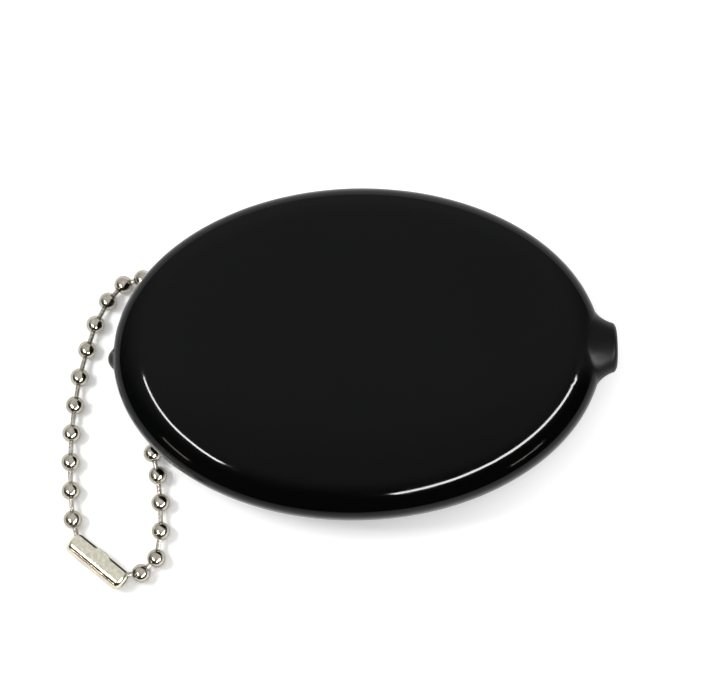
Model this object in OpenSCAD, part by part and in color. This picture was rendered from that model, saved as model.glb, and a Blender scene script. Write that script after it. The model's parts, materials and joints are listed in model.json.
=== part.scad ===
// Squeeze coin purse: a dip-moulded vinyl shell with a slit back, a bead chain and its connector.
// The purse lies on its back. The origin is on the table, under the middle of the slit.
// X runs along the purse towards the neck, Y across it, and Z up through the front panel.

/* [Shell] */
// Length of the oval, without the neck and the nub
oval_length = 79; // [70:1:92]
// Width of the oval
oval_width = 54; // [48:1:62]
// Thickness of the purse over the crown of the front panel
purse_height = 16.5; // [15.5:0.5:20]
// Height of the widest line of the rim above the table
rim_level = 8.2; // [7.5:0.1:9]
// Thickness of the vinyl wall
wall = 1.6; // [1.3:0.1:1.9]
// Distance from the oval's edge in to the crease round the front panel
crease_inset = 4.7; // [3.5:0.1:6]
// Rise of the front panel from its crease to its crown
panel_crown = 2.2; // [1.2:0.1:3]
// Distance from the oval's edge in to the flat on which the purse lies
flat_inset = 12.9; // [11:0.1:15]

/* [Neck and nub] */
// Outer diameter of the neck left by the stem of the dipping form
neck_diameter = 8.4; // [7:0.1:10]
// Diameter of the bore through the neck
neck_bore_diameter = 5; // [3:0.1:5.6]
// How far the neck stands out beyond the oval
neck_reach = 2.3; // [1.5:0.1:6]
// Radius of the hollow flare where the neck meets the rim
neck_flare = 4; // [3.5:0.1:6]
// Height of the neck's axis above the widest line of the rim
neck_rise = 0.4; // [0:0.1:0.8]
// Diameter of the drip nub on the other end
nub_diameter = 4; // [3:0.1:5]
// How far the nub stands out beyond the oval
nub_reach = 0.9; // [0.5:0.1:1.4]

/* [Mouth] */
// Distance from the end of the oval to the end of the slit along the back
slit_inset = 12.5; // [11.5:0.5:17]
// Distance from the slit to the line where each lip bends
lip_depth = 12; // [9:0.1:13]
// Gap along the slit and round the lips
lip_gap = 0.3; // [0.2:0.05:0.4]
// Lean of the slit's faces, which keeps the lips apart while they bend
lip_relief_angle = 7; // [6:0.5:10]

/* [Hang holes] */
// Distance from the end of the oval to the pair of holes for the chain
hang_inset = 7.5; // [7.2:0.1:8.5]
// Distance from the middle of the back to the centre of each hole
hang_offset = 6.2; // [6:0.1:6.5]
// Diameter of each hole
hang_hole_diameter = 5; // [4.6:0.1:5]

/* [Chain] */
// Diameter of a ball
bead_diameter = 3.2; // [3:0.1:3.3]
// Distance between the centres of two balls on a straight run
bead_pitch = 4.7; // [4.6:0.05:4.9]
// Thickness of the ball's sheet metal
bead_wall = 0.25; // [0.15:0.05:0.3]
// Diameter of the holes in a ball
bead_hole_diameter = 1.04; // [0.95:0.01:1.08]
// Diameter of the pins between the balls
pin_diameter = 0.76; // [0.6:0.02:0.8]
// Diameter of the heads that hold a pin in its balls
pin_head_diameter = 1.16; // [1.12:0.01:1.2]

/* [Connector] */
// Distance between the end balls inside the connector
end_bead_spacing = 7.4; // [6.6:0.1:8.2]
// Thickness of the connector's sheet metal
connector_wall = 0.3; // [0.2:0.05:0.4]
// Width of the slot along the connector
slot_width = 1.4; // [1.3:0.05:1.6]
// Length of the flared window in the middle of the slot
window_length = 3.2; // [2.8:0.1:3.4]
// Angle at which the edges of the window flare
flare_angle = 6; // [2:1:10]

/* [Hidden] */
$fn = 48;
long_radius = oval_length / 2;
short_radius = oval_width / 2;
slit_half = long_radius - slit_inset;

// Rings round the shell, and steps along each curve of its section
ring_points = 60;
curve_steps = 4;

// The section through the short axis, as distances from the middle and heights above the table
bead_radius = bead_diameter / 2;
shoulder_inset = 5;
shoulder = [short_radius - shoulder_inset, bead_diameter + 1.1];
shoulder_direction = [0.887, 0.461];
flat_edge = [short_radius - flat_inset, 0];
widest = [short_radius, rim_level];
crease = [short_radius - crease_inset, purse_height - panel_crown];
crease_radius = 0.6;
crease_slope = 35;
crease_outer = crease + crease_radius * [cos(crease_slope), -sin(crease_slope)];
crown_width = 5;
crown = [crown_width, purse_height];

neck_level = rim_level + neck_rise;
neck_lip = 0.6;
neck_root = 6;
neck_flare_length = 2.7;
neck_flare_start = neck_reach - 0.5;
neck_flare_width = neck_flare - sqrt(pow(neck_flare, 2) - pow(neck_flare_length, 2));

// Where the chain is threaded through the back: down through one hole, over the strap between
// the two holes and out through the other
hang_x = hang_inset - long_radius;
hang_bead_y = hang_offset - 0.2;
strap_level = bead_diameter + 0.4;
over_strap_clearance = 0.25;
over_strap_x = hang_x + 0.8;
over_strap_y = bead_pitch / 2;
over_strap_level = strap_level + wall + over_strap_clearance + bead_radius;
hang_bead_drop = sqrt(
    pow(bead_pitch, 2) - pow(hang_bead_y - over_strap_y, 2) - pow(over_strap_x - hang_x, 2)
);
hang_bead_level = over_strap_level - hang_bead_drop;

// The route of the chain round its loop, at a pitch of 4.7, from one hole to the connector and back.
// Each point is [along, across, rise], from the middle of the strap and from a ball lying on the table.
route_pitch = 4.7;
loop_route = [
    [-0.4, 10.3, 0.7], [-3.2, 13.9, 0.9], [-6.5, 13.1, 0.2], [-9.1, 10.4, 0], [-11.2, 6.6, 0],
    [-12.6, 2.4, 0], [-13.9, -2.1, 0], [-14.7, -6.7, 0], [-15.3, -11.3, 0], [-15.5, -16, 0],
    [-15.5, -20.7, 0], [-15.2, -25.4, 0]
];
return_route = [
    [-4.1, -34.4, 0], [-1.6, -32, 0], [-0.8, -27.6, 0], [-0.8, -23, 0], [-1.2, -18.5, 0],
    [-1.9, -14.9, 0.8], [-0.8, -10.4, 0.9]
];
connector_middle = [-11.2, -32.4];
connector_heading = -40;

route_scale = bead_pitch / route_pitch;
function on_route(p) = [hang_x, 0, bead_radius] + route_scale * p;

connector_outer_radius = bead_radius + 0.05 + connector_wall;
connector_centre = [
    hang_x + route_scale * connector_middle[0],
    route_scale * connector_middle[1],
    connector_outer_radius
];
connector_axis = [cos(connector_heading), sin(connector_heading), 0];
end_bead_offset = end_bead_spacing / 2 * connector_axis;

beads = concat(
    [[over_strap_x, over_strap_y, over_strap_level], [hang_x, hang_bead_y, hang_bead_level]],
    [for (p = loop_route) on_route(p)],
    [connector_centre - end_bead_offset, connector_centre + end_bead_offset],
    [for (p = return_route) on_route(p)],
    [[hang_x, -hang_bead_y, hang_bead_level], [over_strap_x, -over_strap_y, over_strap_level]]
);
bead_count = len(beads);
connector_link = len(loop_route) + 2;
pin_links = [for (i = [0 : bead_count - 1]) if (i != connector_link) i];

// Heads of the pins sit this far inside the balls
pin_head_thickness = 0.25;
pin_tip_depth = 0.575;

function two_digits(i) = str(i < 9 ? "0" : "", i + 1);
function bead_name(i) = str("chain_ball_", two_digits(i));
function pin_name(i) = str("chain_pin_", two_digits(i));

// Curves and rings of the shell

function bezier(p, t) =
    pow(1 - t, 3) * p[0] + 3 * t * pow(1 - t, 2) * p[1] + 3 * pow(t, 2) * (1 - t) * p[2] + pow(t, 3) * p[3];

function curve(p) = [for (i = [0 : curve_steps - 1]) bezier(p, i / curve_steps)];

shell_section = concat(
    curve([flat_edge, flat_edge + [2.4, 0], shoulder - 2.4 * shoulder_direction, shoulder]),
    curve([shoulder, shoulder + 2 * shoulder_direction, widest - [0, 2.2], widest]),
    curve([widest, widest + [0, 2.6], crease_outer + 2.4 * [cos(crease_slope), -sin(crease_slope)], crease_outer]),
    curve([crease - [crease_radius, -0.16], crease - [6, -1.4], crown + [7, 0], crown]),
    [crown]
);

// Unit normal of the section at point i, pointing into the purse
function inward(section, i) =
    i == 0 ? [0, 1] :
    i == len(section) - 1 ? [0, -1] :
    let (along = section[i + 1] - section[i - 1]) [-along[1], along[0]] / norm(along);

function inset_section(section, depth) =
    [for (i = [0 : len(section) - 1]) section[i] + depth * inward(section, i)];

// Half length of the ring whose half width is r: parallel to the edge on the rim, and smoothly
// closing to nothing inside it
rim_excess = long_radius - short_radius;
rim_inner = short_radius - max(crease_inset, shoulder_inset);
rim_stretch = rim_excess / rim_inner;
function half_length(r) = r >= rim_inner ? r + rim_excess : r + rim_stretch * r * (2 - r / rim_inner);

function oval(half_long, half_short) =
    [for (i = [0 : ring_points - 1]) [half_long * cos(i * 360 / ring_points), half_short * sin(i * 360 / ring_points)]];

function ring(point) = [for (p = oval(half_length(point[0]), point[0])) [p[0], p[1], point[1]]];

module loft(section) {
    last = len(section) - 1;
    points = [for (s = section) each ring(s)];
    sides = [
        for (r = [0 : last - 1], i = [0 : ring_points - 1])
            let (
                j = (i + 1) % ring_points,
                a = r * ring_points + i,
                b = r * ring_points + j,
                c = (r + 1) * ring_points + j,
                d = (r + 1) * ring_points + i
            )
            each [[a, c, b], [a, d, c]]
    ];
    bottom = [for (i = [0 : ring_points - 1]) i];
    top = [for (i = [ring_points - 1 : -1 : 0]) last * ring_points + i];
    polyhedron(points, concat([bottom, top], sides), convexity = 4);
}

// The neck is a tube along X with a rounded lip
module neck_tube() {
    radius = neck_diameter / 2;
    rotate_extrude() {
        translate([0, -neck_root]) square([radius, neck_root + neck_reach - neck_lip]);
        translate([0, neck_reach - 2 * neck_lip]) square([radius - neck_lip, 2 * neck_lip]);
        translate([radius - neck_lip, neck_reach - neck_lip]) circle(neck_lip);
    }
}

// A hollow flare blends the sides of the neck into the rim, and is flattened to stay inside it above
module neck_root_flare() {
    radius = neck_diameter / 2 - 0.1;
    rotate_extrude()
        difference() {
            translate([0, neck_flare_start - neck_flare_length])
                square([radius + neck_flare_width, neck_flare_length]);
            translate([radius + neck_flare, neck_flare_start]) circle(neck_flare);
        }
}

module neck() {
    translate([long_radius, 0, neck_level]) {
        rotate([0, 90, 0]) neck_tube();
        scale([1, 1, 0.8]) rotate([0, 90, 0]) neck_root_flare();
    }
}

module neck_bore() {
    depth = neck_root + 1;
    translate([long_radius - depth, 0, neck_level])
        rotate([0, 90, 0]) cylinder(d = neck_bore_diameter, h = depth + neck_reach + 1);
}

module nub() {
    translate([nub_diameter / 2 - nub_reach - long_radius, 0, rim_level]) sphere(d = nub_diameter);
}

module hang_holes() {
    for (side = [-1, 1])
        translate([hang_x, side * hang_offset, -1]) cylinder(d = hang_hole_diameter, h = rim_level);
}

// The moulded skin, before the slit and the holes are cut
module skin() {
    difference() {
        union() {
            loft(shell_section);
            neck();
            nub();
        }
        loft(inset_section(shell_section, wall));
        neck_bore();
    }
}

// Outline of both lips in plan: the middle of the oval that lies within lip_depth of the slit
module mouth_outline(growth) {
    half_long = slit_half + growth;
    depth = lip_depth + growth;
    intersection() {
        polygon(oval(half_long, half_long * rim_inner / (rim_inner + rim_excess)));
        translate([-half_long - 1, -depth]) square([2 * half_long + 2, 2 * depth]);
    }
}

module mouth_cut(growth) {
    translate([0, 0, -1]) linear_extrude(rim_level) mouth_outline(growth);
}

module front_shell() {
    color("#16171a")
        difference() {
            skin();
            mouth_cut(lip_gap);
            hang_holes();
        }
}

module upper_side() {
    translate([-long_radius, lip_gap / 2, 0])
        rotate([-lip_relief_angle, 0, 0])
        translate([0, 0, -rim_level]) cube([oval_length, oval_width, 2 * oval_width]);
}

module lip(side) {
    color("#1d1e22")
        intersection() {
            skin();
            mouth_cut(0);
            mirror([0, side > 0 ? 0 : 1, 0]) upper_side();
        }
}

// Turns children so that their Z axis points along a direction
module aim(direction) {
    length = norm(direction);
    rotate([0, acos(direction[2] / length), atan2(direction[1], direction[0])]) children();
}

function unit(v) = v / norm(v);

// Directions of the two holes in ball i, towards the pins that it holds
function before(i) = beads[(i + bead_count - 1) % bead_count] - beads[i];
function after(i) = beads[(i + 1) % bead_count] - beads[i];
function hole_directions(i) =
    i == connector_link ? [before(i), -before(i)] :
    i == connector_link + 1 ? [after(i), -after(i)] :
    [before(i), after(i)];

// The ball's seam lies square to the run of the chain, clear of both holes
module hollow_ball(run) {
    rotate([0, 0, atan2(run[1], run[0]) + 90])
        difference() {
            sphere(bead_radius);
            sphere(bead_radius - bead_wall);
        }
}

module chain_ball(i) {
    holes = hole_directions(i);
    color("#c9c5bd")
        translate(beads[i])
        difference() {
            hollow_ball(unit(holes[0]) - unit(holes[1]));
            for (direction = holes)
                aim(direction) cylinder(d = bead_hole_diameter, h = bead_diameter);
        }
}

module chain_pin(i) {
    span = norm(after(i));
    color("#b9b4ab")
        translate(beads[i])
        aim(after(i))
        translate([0, 0, pin_tip_depth]) {
            cylinder(d = pin_diameter, h = span - 2 * pin_tip_depth);
            cylinder(d = pin_head_diameter, h = pin_head_thickness);
            translate([0, 0, span - 2 * pin_tip_depth - pin_head_thickness])
                cylinder(d = pin_head_diameter, h = pin_head_thickness);
        }
}

// Half section of a closed tube with rounded ends, as distance from its axis and place along it
module tube_section(radius, half_long, corner) {
    translate([0, -half_long]) square([radius - corner, 2 * half_long]);
    translate([0, corner - half_long]) square([radius, 2 * (half_long - corner)]);
    for (end = [-1, 1])
        translate([radius - corner, end * (half_long - corner)]) circle(corner);
}

connector_half = end_bead_spacing / 2 + bead_radius + 0.1 + connector_wall;
connector_corner = 0.8;
connector_mouth_radius = 1;
window_half_height = 0.68 * connector_outer_radius;
window_lip = 0.5;
window_edge_width = 1.4;
window_curve_radius = 2.2;

module connector_tube() {
    difference() {
        rotate_extrude() tube_section(connector_outer_radius, connector_half, connector_corner);
        rotate_extrude()
            tube_section(
                connector_outer_radius - connector_wall,
                connector_half - connector_wall,
                connector_corner - connector_wall
            );
        cylinder(r = connector_mouth_radius, h = 2 * connector_half + 2, center = true);
    }
}

// One edge of the window, bent outwards from the tube, with a curved free edge
module window_edge() {
    reach = connector_outer_radius + window_lip;
    intersection() {
        translate([-window_length / 2, reach - window_edge_width, window_half_height - 0.05])
            rotate([flare_angle, 0, 0]) cube([window_length, window_edge_width, connector_wall]);
        translate([0, reach - window_curve_radius, 0])
            cylinder(r = window_curve_radius, h = 2 * connector_outer_radius);
    }
}

module chain_connector() {
    color("#c2beb6")
        translate(connector_centre)
        rotate([0, 0, connector_heading]) {
            difference() {
                rotate([0, 90, 0]) connector_tube();
                translate([-connector_half - 1, 0, -slot_width / 2])
                    cube([2 * connector_half + 2, 2 * connector_outer_radius, slot_width]);
                translate([-window_length / 2, 0, -window_half_height])
                    cube([window_length, 2 * connector_outer_radius, 2 * window_half_height]);
            }
            window_edge();
            mirror([0, 0, 1]) window_edge();
        }
}

front_shell();
lip(1);  // upper_lip
lip(-1);  // lower_lip
chain_connector();
for (i = [0 : bead_count - 1])
    chain_ball(i);
for (i = pin_links)
    chain_pin(i);
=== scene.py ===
# Squeeze coin purse: glossy dipped vinyl shell with a slit back, a ball chain and its connector.
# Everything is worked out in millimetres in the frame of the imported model, and made in metres.

import json
import math

import bmesh
import bpy
import numpy as np
from mathutils import Matrix, Vector


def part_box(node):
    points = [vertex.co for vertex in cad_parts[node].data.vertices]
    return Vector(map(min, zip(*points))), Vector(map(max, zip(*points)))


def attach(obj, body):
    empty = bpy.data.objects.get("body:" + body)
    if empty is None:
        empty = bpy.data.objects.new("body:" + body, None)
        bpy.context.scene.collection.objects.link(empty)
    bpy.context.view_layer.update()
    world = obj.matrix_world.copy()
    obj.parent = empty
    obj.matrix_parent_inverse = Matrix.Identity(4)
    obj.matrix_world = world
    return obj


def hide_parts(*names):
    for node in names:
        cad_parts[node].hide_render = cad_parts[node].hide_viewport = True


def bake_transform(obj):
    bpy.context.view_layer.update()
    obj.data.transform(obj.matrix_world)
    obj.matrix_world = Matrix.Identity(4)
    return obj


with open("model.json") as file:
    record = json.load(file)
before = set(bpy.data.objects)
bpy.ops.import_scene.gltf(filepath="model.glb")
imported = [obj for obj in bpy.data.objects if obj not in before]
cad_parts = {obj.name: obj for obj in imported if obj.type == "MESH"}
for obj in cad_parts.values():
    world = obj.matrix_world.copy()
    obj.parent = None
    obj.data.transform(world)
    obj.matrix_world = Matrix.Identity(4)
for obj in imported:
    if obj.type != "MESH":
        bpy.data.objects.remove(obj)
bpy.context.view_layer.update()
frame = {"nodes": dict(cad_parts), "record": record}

MM = 0.001

# Sizes of the shell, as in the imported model. Points of its section are half widths and heights.
LONG_EXCESS = 12.5
WALL = 1.6
FLAT_EDGE = np.array([14.1, 0.0])
SHOULDER = np.array([22.0, 4.3])
SHOULDER_DIRECTION = np.array([0.887, 0.461])
WIDEST = np.array([27.0, 8.2])
CROWN = np.array([5.0, 16.5])
# The crease lies where the photograph's highlights put it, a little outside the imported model's
CREASE = np.array([23.0, 13.95])
CREASE_SLOPE = math.radians(35)
CREASE_REACH = 1.7
CREASE_LIFT = 0.4

END_X = 39.5
NECK_LEVEL = 8.6
NECK_REACH = 2.3
NECK_TIP = END_X + NECK_REACH
NECK_RADIUS = 4.08
BORE_RADIUS = 2.5
NUB_REACH = 0.9
NUB_RADIUS = 2.0
NUB_FOOT = 0.28
SLIT_HALF = 27.0
SLIT_GAP = 0.16
MOUTH_RING = 17.2
HANG_X = -32.0
HANG_Y = 6.2
HANG_RADIUS = 2.5

# Steps round the shell's grid, and along the curves of its section
COLUMNS = 480
CURVE_STEPS = 60
CREASE_STEPS = 40
PANEL_STEPS = 80
CROWN_STEPS = 20
INWARD_WINDOW = 1.2

# Sizes of the chain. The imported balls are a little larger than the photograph's, which the skins follow.
PACKED_BALL_RADIUS = 1.6
PACKED_BALL_INNER = 1.35
BALL_RADIUS = 1.5
BALL_INNER = 1.25
BALL_HOLE = 0.52
BALL_HOLE_RIM = 0.1
SHEET = 0.26

# Edges that turn more than this stay sharp
SHARP_ANGLE = math.radians(50)


# Meshes

def mesh_object(name, verts, faces, body, replaces, material):
    """Makes a smooth closed mesh from points in millimetres, and hangs it on its body."""
    mesh = bpy.data.meshes.new(name)
    mesh.from_pydata([tuple(v) for v in np.asarray(verts) * MM], [], faces)
    work = bmesh.new()
    work.from_mesh(mesh)
    bmesh.ops.remove_doubles(work, verts=work.verts, dist=1e-8)
    bmesh.ops.recalc_face_normals(work, faces=work.faces)
    for face in work.faces:
        face.smooth = True
    work.to_mesh(mesh)
    work.free()
    mesh.set_sharp_from_angle(angle=SHARP_ANGLE)
    mesh.materials.append(material)
    piece = bpy.data.objects.new(name, mesh)
    bpy.context.scene.collection.objects.link(piece)
    if replaces:
        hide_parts(*replaces)
    if body:
        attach(piece, body)
    return piece


def bezier(points, count, last=False):
    """Points along a curve with two or three handles, without its end unless last is set."""
    p = [np.asarray(q, float) for q in points]
    t = np.linspace(0, 1, count, endpoint=last)[:, None]
    if len(p) == 3:
        return (1 - t) ** 2 * p[0] + 2 * t * (1 - t) * p[1] + t**2 * p[2]
    near_start = (1 - t) ** 3 * p[0] + 3 * t * (1 - t) ** 2 * p[1]
    return near_start + 3 * t**2 * (1 - t) * p[2] + t**3 * p[3]


def smoothstep(x):
    x = np.clip(x, 0, 1)
    return x * x * (3 - 2 * x)


# Section of the shell, from the middle of the back over the rim to the crown

slope_vector = np.array([math.cos(CREASE_SLOPE), -math.sin(CREASE_SLOPE)])
crease_outer = CREASE + CREASE_REACH * slope_vector
crease_inner = CREASE + np.array([-CREASE_REACH, CREASE_LIFT])
flat_line = np.linspace(0, FLAT_EDGE[0], CURVE_STEPS, endpoint=False)
shoulder_foot = SHOULDER - 2.4 * SHOULDER_DIRECTION
shoulder_head = SHOULDER + 2 * SHOULDER_DIRECTION
section = np.vstack(
    [
        np.stack([flat_line, np.zeros(CURVE_STEPS)], 1),
        bezier([FLAT_EDGE, FLAT_EDGE + [2.4, 0], shoulder_foot, SHOULDER], CURVE_STEPS),
        bezier([SHOULDER, shoulder_head, WIDEST - [0, 2.2], WIDEST], CURVE_STEPS),
        bezier([WIDEST, WIDEST + [0, 2.6], crease_outer + 2.4 * slope_vector, crease_outer], CURVE_STEPS),
        bezier([crease_outer, CREASE, crease_inner], CREASE_STEPS),
        bezier([crease_inner, CREASE + [-6, 1.4], CROWN + [7, 0], CROWN], PANEL_STEPS),
        bezier([CROWN, CROWN - [2, 0], [0, CROWN[1]]], CROWN_STEPS, last=True),
    ]
)
crease_index = 4 * CURVE_STEPS
panel_index = crease_index + CREASE_STEPS
arc = np.concatenate([[0], np.cumsum(np.linalg.norm(np.diff(section, axis=0), axis=1))])


def section_at(s):
    """Points of the section at distances along it."""
    return np.stack([np.interp(s, arc, section[:, 0]), np.interp(s, arc, section[:, 1])], -1)


def inward_at(s):
    """Directions from the section into the wall, smoothed over a window."""
    ahead = section_at(np.minimum(s + INWARD_WINDOW, arc[-1]))
    along = ahead - section_at(np.maximum(s - INWARD_WINDOW, 0))
    along /= np.linalg.norm(along, axis=-1, keepdims=True)
    return np.stack([-along[..., 1], along[..., 0]], -1)


def half_length(r):
    """Half length of the ring whose half width is r: parallel to the edge on the rim, smooth inside."""
    r = np.asarray(r, float)
    edge = SHOULDER[0]
    scale = (edge + LONG_EXCESS) / edge
    inside = scale * r + (scale - 1) * r * (edge - r) / edge
    return np.where(r >= edge, r + LONG_EXCESS, inside)


def ring_radius(x, y):
    """Half width of the ring through each point of the plan."""
    smallest, largest, halvings = 1e-3, 32.0, 50
    low = np.full(np.shape(x), smallest)
    high = np.full(np.shape(x), largest)
    for _ in range(halvings):
        mid = (low + high) / 2
        outside = (x / half_length(mid)) ** 2 + (y / mid) ** 2 > 1
        low = np.where(outside, mid, low)
        high = np.where(outside, high, mid)
    return (low + high) / 2


widest_index = int(np.argmax(section[:, 0]))
offset = section + WALL * inward_at(arc)
inner_widest = int(np.argmax(offset[:, 0]))


def back_height(x, y, inner=False):
    """Height of the back's outer or inner surface over each point of the plan."""
    line, top = (offset, inner_widest) if inner else (section, widest_index)
    return np.interp(ring_radius(x, y), line[: top + 1, 0], line[: top + 1, 1])


def end_reach(y, z, inner=False):
    """How far the rim's outer or inner surface reaches along X at each point across the end."""
    line, extra = (offset, 20) if inner else (section, 10)
    keep = slice(CURVE_STEPS, panel_index + extra)
    r = np.interp(z, line[keep, 1], line[keep, 0])
    return half_length(r) * np.sqrt(np.clip(1 - (y / r) ** 2, 0, 1))


# Rows of the shell's grid, closer together at the crease
mouth_arc = np.interp(MOUTH_RING, section[: widest_index + 1, 0], arc[: widest_index + 1])
fine_start = arc[crease_index] - 0.4
fine_end = arc[crease_index] + 3.8
last_row = arc[-1] - 0.05
rim_rows, crease_rows, panel_rows = 46, 32, 30
rows = np.concatenate(
    [
        np.linspace(mouth_arc, fine_start, rim_rows, endpoint=False),
        np.linspace(fine_start, fine_end, crease_rows, endpoint=False),
        np.linspace(fine_end, last_row, panel_rows),
    ]
)
outer_rows = section_at(rows)
inner_rows = outer_rows + WALL * inward_at(rows)
angles = np.arange(COLUMNS) * 2 * math.pi / COLUMNS


def nub_rise(y, z):
    """A drip of vinyl: the cap of a ball on a soft foot."""
    distance = np.sqrt(y**2 + (z - WIDEST[1]) ** 2)
    cap = np.sqrt(np.clip(NUB_RADIUS**2 - distance**2, 0, None)) - (NUB_RADIUS - NUB_REACH)
    fade_start, fade_end = 2.2, 3.6
    fade = smoothstep((fade_end - distance) / (fade_end - fade_start))
    return NUB_FOOT * np.logaddexp(0, cap / NUB_FOOT) * fade


def ring_points(point, inner):
    """One ring of the grid, through a point of the section, with the nub on the outer skin."""
    nub_side = -30
    r, z = point
    x = half_length(r) * np.cos(angles)
    y = r * np.sin(angles)
    if not inner:
        x = x - np.where(x < nub_side, nub_rise(y, z), 0)
    return np.stack([x, y, np.full(COLUMNS, z)], 1)


def build_shell(material):
    """Outer and inner skins of the whole moulding but its lips, with the neck and the hang holes."""
    count = len(rows)
    outer_rings = [ring_points(p, False) for p in outer_rows]
    grid = np.stack(outer_rings + [ring_points(p, True) for p in inner_rows])
    verts = list(grid.reshape(-1, 3))
    faces = []

    def vertex(layer, row, column):
        return (layer * count + row) * COLUMNS + column % COLUMNS

    # Rectangles of the grid that give way to a rounded patch: its kind, rows and columns
    neck_bottom, neck_top, neck_columns = 3.2, 14.1, 22
    neck_rows = [k for k in range(count) if neck_bottom < outer_rows[k][1] < neck_top]
    hang_ring, hang_spread = 21.3, 0.165
    hang_t = math.atan2(HANG_Y / hang_ring, HANG_X / float(half_length(hang_ring)))
    hang_columns = [int((hang_t + d) / (2 * math.pi) * COLUMNS) for d in (-hang_spread, hang_spread)]
    hang_near, hang_far, hang_top = 17.6, 25.2, 8
    hang_rows = [
        k for k in range(count) if hang_near < outer_rows[k][0] < hang_far and outer_rows[k][1] < hang_top
    ]
    patches = [
        ("neck", neck_rows[0], neck_rows[-1], -neck_columns, neck_columns),
        ("hole", hang_rows[0], hang_rows[-1], hang_columns[0], hang_columns[1]),
        ("hole", hang_rows[0], hang_rows[-1], -hang_columns[1], -hang_columns[0]),
    ]
    covered = set()
    for _, r0, r1, c0, c1 in patches:
        covered |= {(r, c % COLUMNS) for r in range(r0, r1) for c in range(c0, c1)}
    for layer in (0, 1):
        for r in range(count - 1):
            for c in range(COLUMNS):
                if (r, c) not in covered:
                    corners = [(r, c), (r, c + 1), (r + 1, c + 1), (r + 1, c)]
                    faces.append(tuple(vertex(layer, *corner) for corner in corners))
        middle = len(verts)
        verts.append(np.array([0, 0, CROWN[1] - layer * WALL]))
        for c in range(COLUMNS):
            faces.append((vertex(layer, count - 1, c), vertex(layer, count - 1, c + 1), middle))
    for c in range(COLUMNS):
        faces.append((vertex(0, 0, c), vertex(0, 0, c + 1), vertex(1, 0, c + 1), vertex(1, 0, c)))

    for kind, r0, r1, c0, c1 in patches:
        border = (
            [(r0, c) for c in range(c0, c1)]
            + [(r, c1) for r in range(r0, r1)]
            + [(r1, c) for c in range(c1, c0, -1)]
            + [(r, c0) for r in range(r1, r0, -1)]
        )
        outer_loop = [vertex(0, r, c) for r, c in border]
        inner_loop = [vertex(1, r, c) for r, c in border]
        outer_points = np.array([verts[i] for i in outer_loop])
        inner_points = np.array([verts[i] for i in inner_loop])
        if kind == "neck":
            rings = neck_rings(outer_points, inner_points)
        else:
            rings = hole_rings(outer_points, inner_points, HANG_Y if c0 > 0 else -HANG_Y)
        loops = [outer_loop]
        for ring in rings:
            start = len(verts)
            verts.extend(ring)
            loops.append(list(range(start, start + len(ring))))
        loops.append(inner_loop)
        size = len(border)
        for a, b in zip(loops, loops[1:]):
            for i in range(size):
                faces.append((a[i], a[(i + 1) % size], b[(i + 1) % size], b[i]))
    return mesh_object("shell_skin", verts, faces, "purse", ["front_shell"], material)


def neck_rings(outer_points, inner_points):
    """Rings from the rim up the flared neck, over its lip, down the bore and out over the inner skin."""
    flat = outer_points[:, 1:] - [0, NECK_LEVEL]
    turn = np.arctan2(flat[:, 1], flat[:, 0])
    unit = np.stack([np.cos(turn), np.sin(turn)], 1)
    # The neck's foot is lower than it is wide, because the rim falls away above and below
    foot_width, foot_drop = 6.3, 1.8
    foot = foot_width - foot_drop * np.abs(unit[:, 1:2])
    lip_depth, lip_width, edge = 0.85, 1.25, 0.3
    lip_start = NECK_TIP - lip_depth
    rings = []

    def at(radius, x):
        plan = unit * radius
        return np.column_stack([x, plan[:, 0], plan[:, 1] + NECK_LEVEL])

    def surface(plan, inner=False):
        return end_reach(plan[:, 0], plan[:, 1] + NECK_LEVEL, inner)

    for t in np.linspace(0, 1, 9)[1:]:
        plan = flat * (1 - t) + unit * foot * t
        rings.append(np.column_stack([surface(plan), plan[:, 0], plan[:, 1] + NECK_LEVEL]))
    start_x = surface(unit * foot)
    step = 0.15
    slope = (surface(unit * (foot - step)) - surface(unit * (foot + step))) / (2 * step)
    # The handle of the flare leans out at the neck's sides, and keeps close to it above and below
    share = 0.35 * smoothstep((np.abs(unit[:, :1]) - 0.4) / 0.6)
    corner = foot * share + (NECK_RADIUS - 0.26 + 1.4 * share) * (1 - share)
    corner_x = start_x + slope * (foot - corner)[:, 0]
    for t in np.linspace(0, 1, 13)[1:]:
        radius = (1 - t) ** 2 * foot + 2 * t * (1 - t) * corner + t**2 * NECK_RADIUS
        x = (1 - t) ** 2 * start_x + 2 * t * (1 - t) * corner_x + t**2 * lip_start
        rings.append(at(radius, x))
    for a in np.linspace(0, math.pi / 2, 11)[1:]:
        radius = NECK_RADIUS - lip_width * (1 - math.cos(a))
        rings.append(at(radius, np.full(len(turn), NECK_TIP - lip_depth * (1 - math.sin(a)))))
    for a in np.linspace(0, math.pi / 2, 5):
        radius = BORE_RADIUS + edge * (1 - math.sin(a))
        rings.append(at(radius, np.full(len(turn), NECK_TIP - edge * (1 - math.cos(a)))))
    inner_x = surface(unit * BORE_RADIUS, inner=True)
    for t in np.linspace(0, 1, 8)[1:]:
        rings.append(at(BORE_RADIUS, (NECK_TIP - edge) * (1 - t) + inner_x * t))
    inner_flat = inner_points[:, 1:] - [0, NECK_LEVEL]
    for t in np.linspace(0, 1, 7)[1:-1]:
        plan = unit * BORE_RADIUS * (1 - t) + inner_flat * t
        rings.append(np.column_stack([surface(plan, True), plan[:, 0], plan[:, 1] + NECK_LEVEL]))
    return rings


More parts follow.
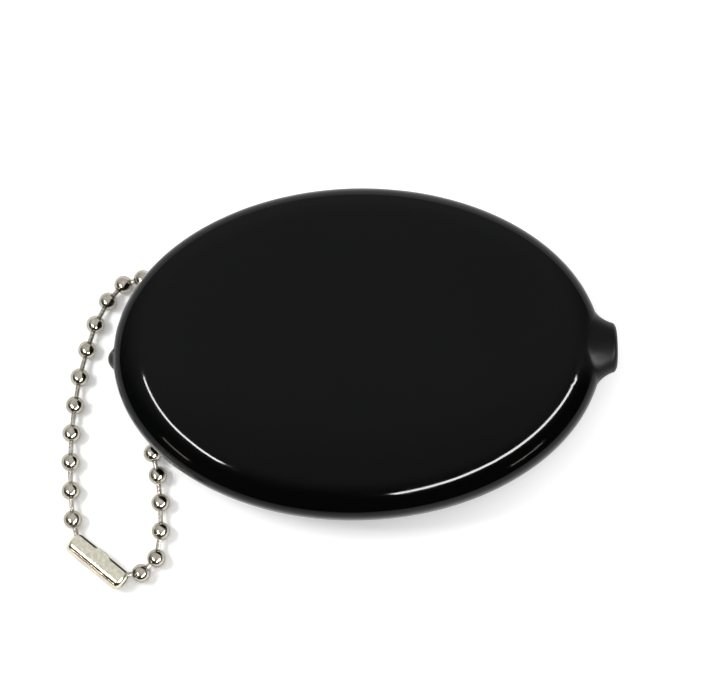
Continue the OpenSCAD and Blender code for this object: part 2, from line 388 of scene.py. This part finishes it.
def hole_rings(outer_points, inner_points, across):
    """Rings from the back into a hang hole, over its softened edges and out over the inner skin."""
    centre = np.array([HANG_X, across])
    flat = outer_points[:, :2] - centre
    turn = np.arctan2(flat[:, 1], flat[:, 0])
    unit = np.stack([np.cos(turn), np.sin(turn)], 1)
    edge = 0.22
    rings = []

    def over(plan, inner=False, sink=0.0):
        points = plan + centre
        z = back_height(points[:, 0], points[:, 1], inner)
        return np.column_stack([points, z + (-sink if inner else sink)])

    rim = unit * (HANG_RADIUS + edge)
    for t in np.linspace(0, 1, 8)[1:]:
        rings.append(over(flat * (1 - t) + rim * t))
    for a in np.linspace(0, math.pi / 2, 5)[1:]:
        radius = HANG_RADIUS + edge * (1 - math.sin(a))
        rings.append(over(unit * radius, sink=edge * (1 - math.cos(a))))
    for a in np.linspace(math.pi / 2, 0, 5)[:-1]:
        radius = HANG_RADIUS + edge * (1 - math.sin(a))
        rings.append(over(unit * radius, True, edge * (1 - math.cos(a))))
    inner_flat = inner_points[:, :2] - centre
    for t in np.linspace(0, 1, 7)[:-1]:
        rings.append(over(rim * (1 - t) + inner_flat * t, True))
    return rings


def build_lip(side, material):
    """One half of the back: whole along its outer edge, free along the slit."""
    body = "upper_lip" if side > 0 else "lower_lip"
    turns = angles[: COLUMNS // 2 + 1]
    ends = float(half_length(MOUTH_RING))
    x = ends * np.cos(turns)
    border = MOUTH_RING * np.sin(turns)
    gap = SLIT_GAP * np.sqrt(np.clip(1 - (x / SLIT_HALF) ** 2, 0, 1))
    edge = 0.25
    closing = 1.2
    open_part = smoothstep((SLIT_HALF - np.abs(x)) / closing)
    outer = []
    inner = []
    # The rows lie closer together towards the slit
    for t in np.linspace(1, 0, 30) ** 1.25:
        y = np.minimum((gap + edge * open_part) * (1 - t) + border * t, border)
        outer.append(np.column_stack([x, y, back_height(x, y)]))
        inner.append(np.column_stack([x, y, back_height(x, y, True)]))
    lip_rows = list(outer)
    for a in np.linspace(0, math.pi / 2, 5)[1:]:
        y = np.minimum(gap + edge * open_part * (1 - math.sin(a)), border)
        sink = edge * open_part * (1 - math.cos(a))
        lip_rows.append(np.column_stack([x, y, back_height(x, y) + sink]))
    for a in np.linspace(math.pi / 2, 0, 5)[:-1]:
        y = np.minimum(gap + edge * open_part * (1 - math.sin(a)), border)
        sink = edge * open_part * (1 - math.cos(a))
        lip_rows.append(np.column_stack([x, y, back_height(x, y, True) - sink]))
    lip_rows += inner[::-1]
    grid = np.array(lip_rows)
    grid[:, :, 1] *= side
    size = len(turns)
    faces = []
    for r in range(len(grid)):
        below = (r + 1) % len(grid)
        for c in range(size - 1):
            faces.append((r * size + c, r * size + c + 1, below * size + c + 1, below * size + c))
    piece = mesh_object(f"{body}_skin", grid.reshape(-1, 3), faces, None, [body], material)
    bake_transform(piece)
    return piece


# Chain

def lathe(profile, segments, place):
    """Closed ring of a profile, as distance from an axis and place along it, turned round that axis."""
    turns = np.arange(segments) * 2 * math.pi / segments
    verts = [place(r * math.cos(a), r * math.sin(a), h) for r, h in profile for a in turns]
    faces = []
    rings = len(profile)
    for k in range(rings):
        for i in range(segments):
            j = (i + 1) % segments
            m = (k + 1) % rings
            faces.append((k * segments + i, k * segments + j, m * segments + j, m * segments + i))
    return verts, faces


def axes_for(direction):
    """Three axes at right angles, of which the last lies along direction."""
    w = np.asarray(direction, float) / np.linalg.norm(direction)
    helper = np.array([0, 0, 1.0]) if abs(w[2]) < 0.9 else np.array([1.0, 0, 0])
    u = np.cross(helper, w)
    u /= np.linalg.norm(u)
    return u, np.cross(w, u), w


def turned(vector, axis, angle):
    """A vector turned about an axis."""
    return (
        vector * math.cos(angle)
        + np.cross(axis, vector) * math.sin(angle)
        + axis * np.dot(axis, vector) * (1 - math.cos(angle))
    )


def ball_centre(node):
    """Centre of a packed hollow ball, from the points of its solid."""
    points = np.array([v.co for v in frame["nodes"][node].data.vertices]) / MM
    low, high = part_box(node)
    centre = np.array((low + high) / 2) / MM
    halfway = (PACKED_BALL_RADIUS + PACKED_BALL_INNER) / 2
    tries, loose_tries, tight, loose = 30, 3, 0.02, 0.2
    for attempt in range(tries):
        delta = points - centre
        distance = np.linalg.norm(delta, axis=1)
        near = np.where(distance > halfway, PACKED_BALL_RADIUS, PACKED_BALL_INNER)
        error = distance - near
        use = np.abs(error) < tight + loose * (attempt < loose_tries)
        direction = delta[use] / distance[use, None]
        step = np.linalg.lstsq(direction, error[use], rcond=None)[0]
        centre = centre + step
        if np.linalg.norm(step) < 1e-6:
            break
    return centre


def ball_mesh(centre, first, second):
    """A pressed hollow ball, with a rolled hole towards each of its two pins."""
    first = first / np.linalg.norm(first)
    second = second / np.linalg.norm(second)
    axis = first - second
    axis /= np.linalg.norm(axis)
    bend = np.cross(axis, first)
    lean = math.asin(min(1.0, np.linalg.norm(bend)))
    bend = bend / np.linalg.norm(bend) if lean > 1e-4 else axes_for(axis)[0]
    u, v, w = axes_for(axis)
    hole, rim = BALL_HOLE, BALL_HOLE_RIM
    start = math.asin((hole + rim) / BALL_RADIUS)
    inner_start = math.asin(hole / BALL_INNER)
    rim_level = BALL_RADIUS * math.cos(start) - rim * 0.9
    profile = []
    for a in np.linspace(0, math.pi / 2, 4)[:-1]:
        profile.append((hole + rim * (1 - math.cos(a)), rim_level + rim * math.sin(a)))
    for a in np.linspace(start, math.pi - start, 25):
        profile.append((BALL_RADIUS * math.sin(a), BALL_RADIUS * math.cos(a)))
    for a in np.linspace(math.pi / 2, 0, 4)[1:]:
        profile.append((hole + rim * (1 - math.cos(a)), -(rim_level + rim * math.sin(a))))
    for a in np.linspace(math.pi - inner_start, inner_start, 11):
        profile.append((BALL_INNER * math.sin(a), BALL_INNER * math.cos(a)))

    def place(x, y, h):
        # The ends lean towards the two pins, and the middle stays
        amount = math.sin(max(-1, min(1, h / BALL_RADIUS / 0.8)) * math.pi / 2)
        return centre + turned(u * x + v * y + w * h, bend, lean * amount)

    return lathe(profile, 32, place)


def pin_mesh(start, end):
    """A dumb-bell pin: a slim shank with a head held in each of its two balls."""
    u, v, w = axes_for(end - start)
    span = np.linalg.norm(end - start)
    shank, waist, head, thick, depth = 0.38, 0.33, 0.58, 0.25, 0.575
    top = depth + thick
    # Distance from the pin's axis and place along it, from the inside of the first head to the middle
    half = [
        (0.0001, depth),
        (0.3, depth + 0.01),
        (0.5, depth + 0.04),
        (head, depth + 0.1),
        (head - 0.01, top - 0.07),
        (0.48, top),
        (waist + 0.05, top + 0.04),
        (waist, top + 0.12),
        (waist, 1.28),
        (shank, 1.34),
        (shank, 1.36),
        (shank, 1.42),
        (shank, span * 0.5 - 0.1),
    ]
    profile = half + [(r, span - h) for r, h in reversed(half)]

    def place(x, y, h):
        return start + u * x + v * y + w * h

    return lathe(profile, 20, place)


def connector_mesh(centre, axis, side):
    """The outside of a tube rolled from sheet, with closed-in ends and an open seam whose upper lip runs
    out further in the middle, as a tab.
    """
    radius, half, corner, mouth = 1.8, 5.65, 1.1, 0.62
    leave, lower_lip, curl = math.radians(74), math.radians(12), math.radians(12)
    lip_run, tab_run, tab_half, tab_fade = 1.12, 1.62, 1.75, 1.0
    mouth_steps, corner_steps, straight_steps = 2, 12, 80
    lower_steps, round_steps, flat_steps = 60, 44, 18
    up = np.array([0, 0, 1.0])
    along = []
    for t in np.linspace(0, 1, mouth_steps + 1)[:-1]:
        along.append((mouth + t * (radius - corner - mouth), -half))
    for a in np.linspace(0, math.pi / 2, corner_steps + 1):
        along.append((radius - corner * (1 - math.sin(a)), -half + corner * (1 - math.cos(a))))
    ends = len(along)
    reach = half - corner
    for t in np.linspace(-reach, reach, straight_steps + 1)[1:-1]:
        along.append((radius, t))
    along += [(r, -h) for r, h in reversed(along[:ends])]
    outer = []
    for r, h in along:
        tab = float(smoothstep((tab_half - abs(h)) / tab_fade))
        row = []
        for k in range(lower_steps):
            turn = lower_lip + (math.pi - lower_lip) * k / lower_steps
            row.append((r * math.cos(turn), -r * math.sin(turn)))
        for k in range(round_steps):
            turn = math.pi - (math.pi - leave) * k / round_steps
            row.append((r * math.cos(turn), r * math.sin(turn)))
        # Above, the sheet leaves the tube along its tangent and droops a little as it runs outwards
        run = (lip_run + (tab_run - lip_run) * tab) * r / radius
        y, z = r * math.cos(leave), r * math.sin(leave)
        for k in range(flat_steps + 1):
            row.append((y, z))
            slope = math.pi / 2 - leave + curl * (k + 0.5) / flat_steps
            y += run / flat_steps * math.cos(slope)
            z -= run / flat_steps * math.sin(slope)
        outer.append([centre + axis * h + side * y + up * z for y, z in row])
    return np.array(outer)


# Materials

def node_material(name):
    """A new material, with its tree, its Principled shader and a Texture Coordinate node."""
    material = bpy.data.materials.new(name)
    material.use_nodes = True
    tree = material.node_tree
    shader = tree.nodes["Principled BSDF"]
    coords = tree.nodes.new("ShaderNodeTexCoord")
    return material, tree, shader, coords


def noise(tree, coords, scale, detail=3.0, roughness=0.5, stretch=None):
    """Noise on the piece's own coordinates, turned and scaled first where stretch is given."""
    texture = tree.nodes.new("ShaderNodeTexNoise")
    texture.inputs["Scale"].default_value = scale
    texture.inputs["Detail"].default_value = detail
    texture.inputs["Roughness"].default_value = roughness
    if stretch is None:
        tree.links.new(coords.outputs["Object"], texture.inputs["Vector"])
    else:
        mapping = tree.nodes.new("ShaderNodeMapping")
        mapping.inputs["Rotation"].default_value = stretch[0]
        mapping.inputs["Scale"].default_value = stretch[1]
        tree.links.new(coords.outputs["Object"], mapping.inputs["Vector"])
        tree.links.new(mapping.outputs["Vector"], texture.inputs["Vector"])
    return texture.outputs["Fac"]


def spread(tree, value, low, high, start=0.3, end=0.7):
    """Value from start to end, as low to high."""
    rng = tree.nodes.new("ShaderNodeMapRange")
    rng.inputs["From Min"].default_value = start
    rng.inputs["From Max"].default_value = end
    rng.inputs["To Min"].default_value = low
    rng.inputs["To Max"].default_value = high
    tree.links.new(value, rng.inputs["Value"])
    return rng.outputs["Result"]


def mixed(tree, factor, first, second):
    """A colour between two."""
    mix = tree.nodes.new("ShaderNodeMix")
    mix.data_type = "RGBA"
    mix.inputs["A"].default_value = (*first, 1)
    mix.inputs["B"].default_value = (*second, 1)
    tree.links.new(factor, mix.inputs["Factor"])
    return mix.outputs["Result"]


def combined(tree, operation, first, second):
    """One number from two."""
    node = tree.nodes.new("ShaderNodeMath")
    node.operation = operation
    tree.links.new(first, node.inputs[0])
    tree.links.new(second, node.inputs[1])
    return node.outputs["Value"]


def bump(tree, shader, height, distance, strength, below=None):
    """Bump on the shader, over the bump below it where there is one."""
    node = tree.nodes.new("ShaderNodeBump")
    node.inputs["Distance"].default_value = distance
    node.inputs["Strength"].default_value = strength
    tree.links.new(height, node.inputs["Height"])
    if below is not None:
        tree.links.new(below, node.inputs["Normal"])
    tree.links.new(node.outputs["Normal"], shader.inputs["Normal"])
    return node.outputs["Normal"]


def vinyl_material():
    material, tree, shader, coords = node_material("dipped_vinyl")
    shader.inputs["IOR"].default_value = 1.5
    shader.inputs["Specular IOR Level"].default_value = 0.13
    tone = noise(tree, coords, 55, 4)
    black = mixed(tree, tone, (0.0008, 0.0011, 0.0009), (0.0016, 0.0020, 0.0017))
    tree.links.new(black, shader.inputs["Base Color"])
    haze = noise(tree, coords, 240, 5, 0.6)
    # The neck is duller than the rest, where fingers hold it
    away = tree.nodes.new("ShaderNodeVectorMath")
    away.operation = "DISTANCE"
    away.inputs[1].default_value = (NECK_TIP * MM, 0, NECK_LEVEL * MM)
    tree.links.new(coords.outputs["Object"], away.inputs[0])
    dulling = spread(tree, away.outputs["Value"], 0.36, 0.0, 0.005, 0.0095)
    gloss = combined(tree, "ADD", spread(tree, haze, 0.045, 0.085), dulling)
    tree.links.new(gloss, shader.inputs["Roughness"])
    swell = bump(tree, shader, noise(tree, coords, 130, 2), 0.00005, 0.5)
    bump(tree, shader, noise(tree, coords, 1500, 2), 0.000003, 0.4, swell)
    return material


def nickel_material(name, light, dark, rough, dent=0.5, grain=0.7, marks=None):
    """Bright plated metal with tarnish, dents and grain, and long marks where they are given."""
    material, tree, shader, coords = node_material(name)
    shader.inputs["Metallic"].default_value = 1.0
    # The dark edge tint darkens each metal piece's grazing reflections: painted shade for the shaded table
    # round the chain
    shader.inputs["Specular Tint"].default_value = (0.3, 0.28, 0.24, 1)
    tarnish = noise(tree, coords, 1500, 4, 0.6)
    tree.links.new(mixed(tree, spread(tree, tarnish, 0, 1), light, dark), shader.inputs["Base Color"])
    tree.links.new(spread(tree, noise(tree, coords, 1600, 3), *rough), shader.inputs["Roughness"])
    dents = bump(tree, shader, noise(tree, coords, 420, 2), 0.00004, dent)
    below = bump(tree, shader, noise(tree, coords, 2600, 3), 0.000009, grain, dents)
    if marks is not None:
        bump(tree, shader, noise(tree, coords, 900, 4, 0.6, marks), 0.00003, 0.7, below)
    return material


vinyl = vinyl_material()
ball_nickel = nickel_material("ball_nickel", (0.62, 0.59, 0.51), (0.42, 0.39, 0.33), (0.06, 0.12))
pin_nickel = nickel_material(
    "pin_nickel", (0.52, 0.49, 0.43), (0.40, 0.37, 0.32), (0.2, 0.32), dent=0.15, grain=0.15
)

# Pieces

build_shell(vinyl)
build_lip(1, vinyl)
build_lip(-1, vinyl)

bodies = frame["record"]["behaviour"]["bodies"]
body_of = {node: body for body, nodes in bodies.items() for node in nodes}
ball_nodes = sorted(n for n in body_of if n.startswith("chain_ball_"))
pin_nodes = sorted(n for n in body_of if n.startswith("chain_pin_"))
centres = [ball_centre(n) for n in ball_nodes]
total = len(centres)
# The connector holds this ball and the next, which no pin joins
joined = next(i for i in range(total) if f"chain_pin_{i + 1:02d}" not in pin_nodes)

for i, node in enumerate(ball_nodes):
    before = centres[i - 1] - centres[i]
    after = centres[(i + 1) % total] - centres[i]
    if i == joined:
        after = -before
    if i == joined + 1:
        before = -after
    verts, faces = ball_mesh(centres[i], before, after)
    name = node.replace("chain_ball", "pressed_ball")
    mesh_object(name, verts, faces, body_of[node], [node], ball_nickel)

for node in pin_nodes:
    i = int(node[-2:]) - 1
    verts, faces = pin_mesh(centres[i], centres[(i + 1) % total])
    name = node.replace("chain_pin", "headed_pin")
    mesh_object(name, verts, faces, body_of[node], [node], pin_nickel)

link_middle = (centres[joined] + centres[joined + 1]) / 2
link_axis = centres[joined + 1] - centres[joined]
link_axis /= np.linalg.norm(link_axis)
link_side = np.array([-link_axis[1], link_axis[0], 0])
heading = math.atan2(link_axis[1], link_axis[0])
# The sheet's cut edges get a near-black colour: painted shade that stands for the dark open seam
painted_seam_shade = nickel_material("painted_seam_shade", (0.10, 0.09, 0.07), (0.04, 0.035, 0.03), (0.4, 0.6))
connector_nickel = nickel_material(
    "connector_nickel",
    (0.97, 0.94, 0.79),
    (0.74, 0.71, 0.57),
    (0.09, 0.16),
    marks=((0, 0, -heading), (0.12, 1.0, 1.0)),
)
skin = connector_mesh(link_middle, link_axis, link_side)
row_size = skin.shape[1]
faces = [
    (a * row_size + b, a * row_size + b + 1, (a + 1) * row_size + b + 1, (a + 1) * row_size + b)
    for a in range(len(skin) - 1)
    for b in range(row_size - 1)
]
connector = mesh_object(
    "rolled_connector",
    skin.reshape(-1, 3),
    faces,
    None,
    ["chain_connector"],
    connector_nickel,
)
# An open sheet has no inside, so its faces are turned outwards by one of them
probe = connector.data.polygons[len(connector.data.polygons) // 2]
if (Vector(probe.center) - Vector(link_middle * MM)).dot(probe.normal) < 0:
    connector.data.flip_normals()
connector.data.materials.append(painted_seam_shade)
sheet = connector.modifiers.new("sheet", "SOLIDIFY")
# The rims of the sheet take the second material, the painted shade of the seam
sheet.material_offset_rim = 1
sheet.thickness = SHEET * MM
sheet.offset = -1
sheet.use_even_offset = True
edges = connector.modifiers.new("edges", "BEVEL")
edges.width = 0.05 * MM
edges.segments = 2
edges.limit_method = "ANGLE"
edges.angle_limit = SHARP_ANGLE
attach(connector, body_of["chain_connector"])

# Floor, camera and lights

floor_mesh = bpy.data.meshes.new("studio_floor")
half = 2.0
corners = [(-half, -half, 0), (half, -half, 0), (half, half, 0), (-half, half, 0)]
floor_mesh.from_pydata(corners, [], [(0, 1, 2, 3)])
floor = bpy.data.objects.new("studio_floor", floor_mesh)
bpy.context.scene.collection.objects.link(floor)
floor.location.z = -0.0001
floor_material, tree, shader, coords = node_material("white_table")
shader.inputs["Roughness"].default_value = 0.6
shader.inputs["Specular IOR Level"].default_value = 0.2
white = mixed(tree, noise(tree, coords, 30, 2), (0.88, 0.88, 0.88), (0.9, 0.9, 0.9))
tree.links.new(white, shader.inputs["Base Color"])
# The table's glow is painted light: none at the chain, whose shadows are deep, growing to the right, where
# it paints out the purse's shadow
rays = tree.nodes.new("ShaderNodeLightPath")
place = tree.nodes.new("ShaderNodeSeparateXYZ")
tree.links.new(coords.outputs["Object"], place.inputs["Vector"])
painted_glow = spread(tree, place.outputs["X"], 0.0, 0.5, -0.06, 0.03)
seen = combined(tree, "ADD", rays.outputs["Is Camera Ray"], rays.outputs["Is Glossy Ray"])
seen = combined(tree, "ADD", seen, rays.outputs["Is Transmission Ray"])
shader.inputs["Emission Color"].default_value = (1, 1, 1, 1)
tree.links.new(combined(tree, "MULTIPLY", seen, painted_glow), shader.inputs["Emission Strength"])
# The floor has one side, so that the purse's back can be seen from below
side = tree.nodes.new("ShaderNodeNewGeometry")
clear = tree.nodes.new("ShaderNodeBsdfTransparent")
either = tree.nodes.new("ShaderNodeMixShader")
tree.links.new(side.outputs["Backfacing"], either.inputs["Fac"])
tree.links.new(shader.outputs["BSDF"], either.inputs[1])
tree.links.new(clear.outputs["BSDF"], either.inputs[2])
tree.links.new(either.outputs["Shader"], tree.nodes["Material Output"].inputs["Surface"])
floor_mesh.materials.append(floor_material)

world = bpy.data.worlds.new("studio_world")
bpy.context.scene.world = world
world.use_nodes = True
tree = world.node_tree
background = tree.nodes["Background"]
background.inputs["Color"].default_value = (1, 1, 1, 1)
# Bright above and behind the purse, dim towards the front and the horizon
sky = tree.nodes.new("ShaderNodeTexCoord")
height = tree.nodes.new("ShaderNodeVectorMath")
height.operation = "DOT_PRODUCT"
height.inputs[1].default_value = (0.0, 0.58, 0.81)
tree.links.new(sky.outputs["Generated"], height.inputs[0])
level = tree.nodes.new("ShaderNodeMapRange")
level.interpolation_type = "SMOOTHSTEP"
level.inputs["From Min"].default_value = 0.0
level.inputs["From Max"].default_value = 0.85
level.inputs["To Min"].default_value = 0.03
level.inputs["To Max"].default_value = 0.74
tree.links.new(height.outputs["Value"], level.inputs["Value"])
tree.links.new(level.outputs["Result"], background.inputs["Strength"])


def aimed(location, target, roll):
    """A matrix at location whose -Z axis looks at target, with +Y near the frame's +Y."""
    place, goal = Vector(location), Vector(target)
    forward = (goal - place).normalized()
    right = forward.cross(Vector((0, 1, 0))).normalized()
    up = right.cross(forward)
    turn = Matrix((right, up, -forward)).transposed().to_4x4()
    return Matrix.Translation(place) @ turn @ Matrix.Rotation(roll, 4, "Z")


def strip_light(name, first, last, height, energy, colour=(1, 1, 1)):
    """A long softbox between two points, facing the purse."""
    first, last = Vector(first), Vector(last)
    middle = (first + last) / 2
    data = bpy.data.lights.new(name, "AREA")
    data.shape = "RECTANGLE"
    data.size = (last - first).length
    data.size_y = height
    data.energy = energy
    data.color = colour
    light = bpy.data.objects.new(name, data)
    bpy.context.scene.collection.objects.link(light)
    along = (last - first).normalized()
    back = middle.normalized()
    across = back.cross(along).normalized()
    back = along.cross(across)
    light.matrix_world = Matrix.Translation(middle) @ Matrix((along, across, back)).transposed().to_4x4()
    return light


# The strips draw the highlights, and the two panels light the table
left_ends = ((-0.50, -0.027, 0.56), (-0.30, -0.41, 0.55))
right_ends = ((0.62, -0.116, 0.425), (0.06, -0.597, 0.46))
left_low_ends = ((-0.574, -0.417, 0.215), (-0.484, -0.519, 0.215))
right_low_ends = ((0.50, -0.475, 0.215), (0.39, -0.57, 0.215))
strips = [
    strip_light("left_strip", *left_ends, 0.038, 4.6),
    strip_light("right_strip", *right_ends, 0.05, 9.0),
    strip_light("left_low_lamp", *left_low_ends, 0.008, 0.08, (1, 0.85, 0.7)),
    strip_light("right_low_lamp", *right_low_ends, 0.008, 0.08, (1, 0.93, 0.85)),
]
for light in strips:
    light.visible_diffuse = False
panels = [
    strip_light("overhead_panel", (-0.6, 0.1, 1.3), (0.6, 0.1, 1.3), 1.2, 5.6),
    strip_light("side_panel", (-0.175, -0.01, 0.22), (-0.175, 0.09, 0.22), 0.08, 0.5),
]
for light in panels:
    light.visible_glossy = False

camera_data = bpy.data.cameras.new("camera")
camera_data.lens = 135
camera_data.sensor_width = 36
camera_data.clip_start = 0.01
camera_data.clip_end = 20
camera = bpy.data.objects.new("camera", camera_data)
bpy.context.scene.collection.objects.link(camera)
camera_place = (0.0083764, -0.0508816, 0.4356762)
camera_target = (-0.0003803, 0.000692, 0.0082)
camera_roll = -0.0204
camera.matrix_world = aimed(camera_place, camera_target, camera_roll)
bpy.context.scene.camera = camera

bpy.context.scene.view_settings.view_transform = "Standard"
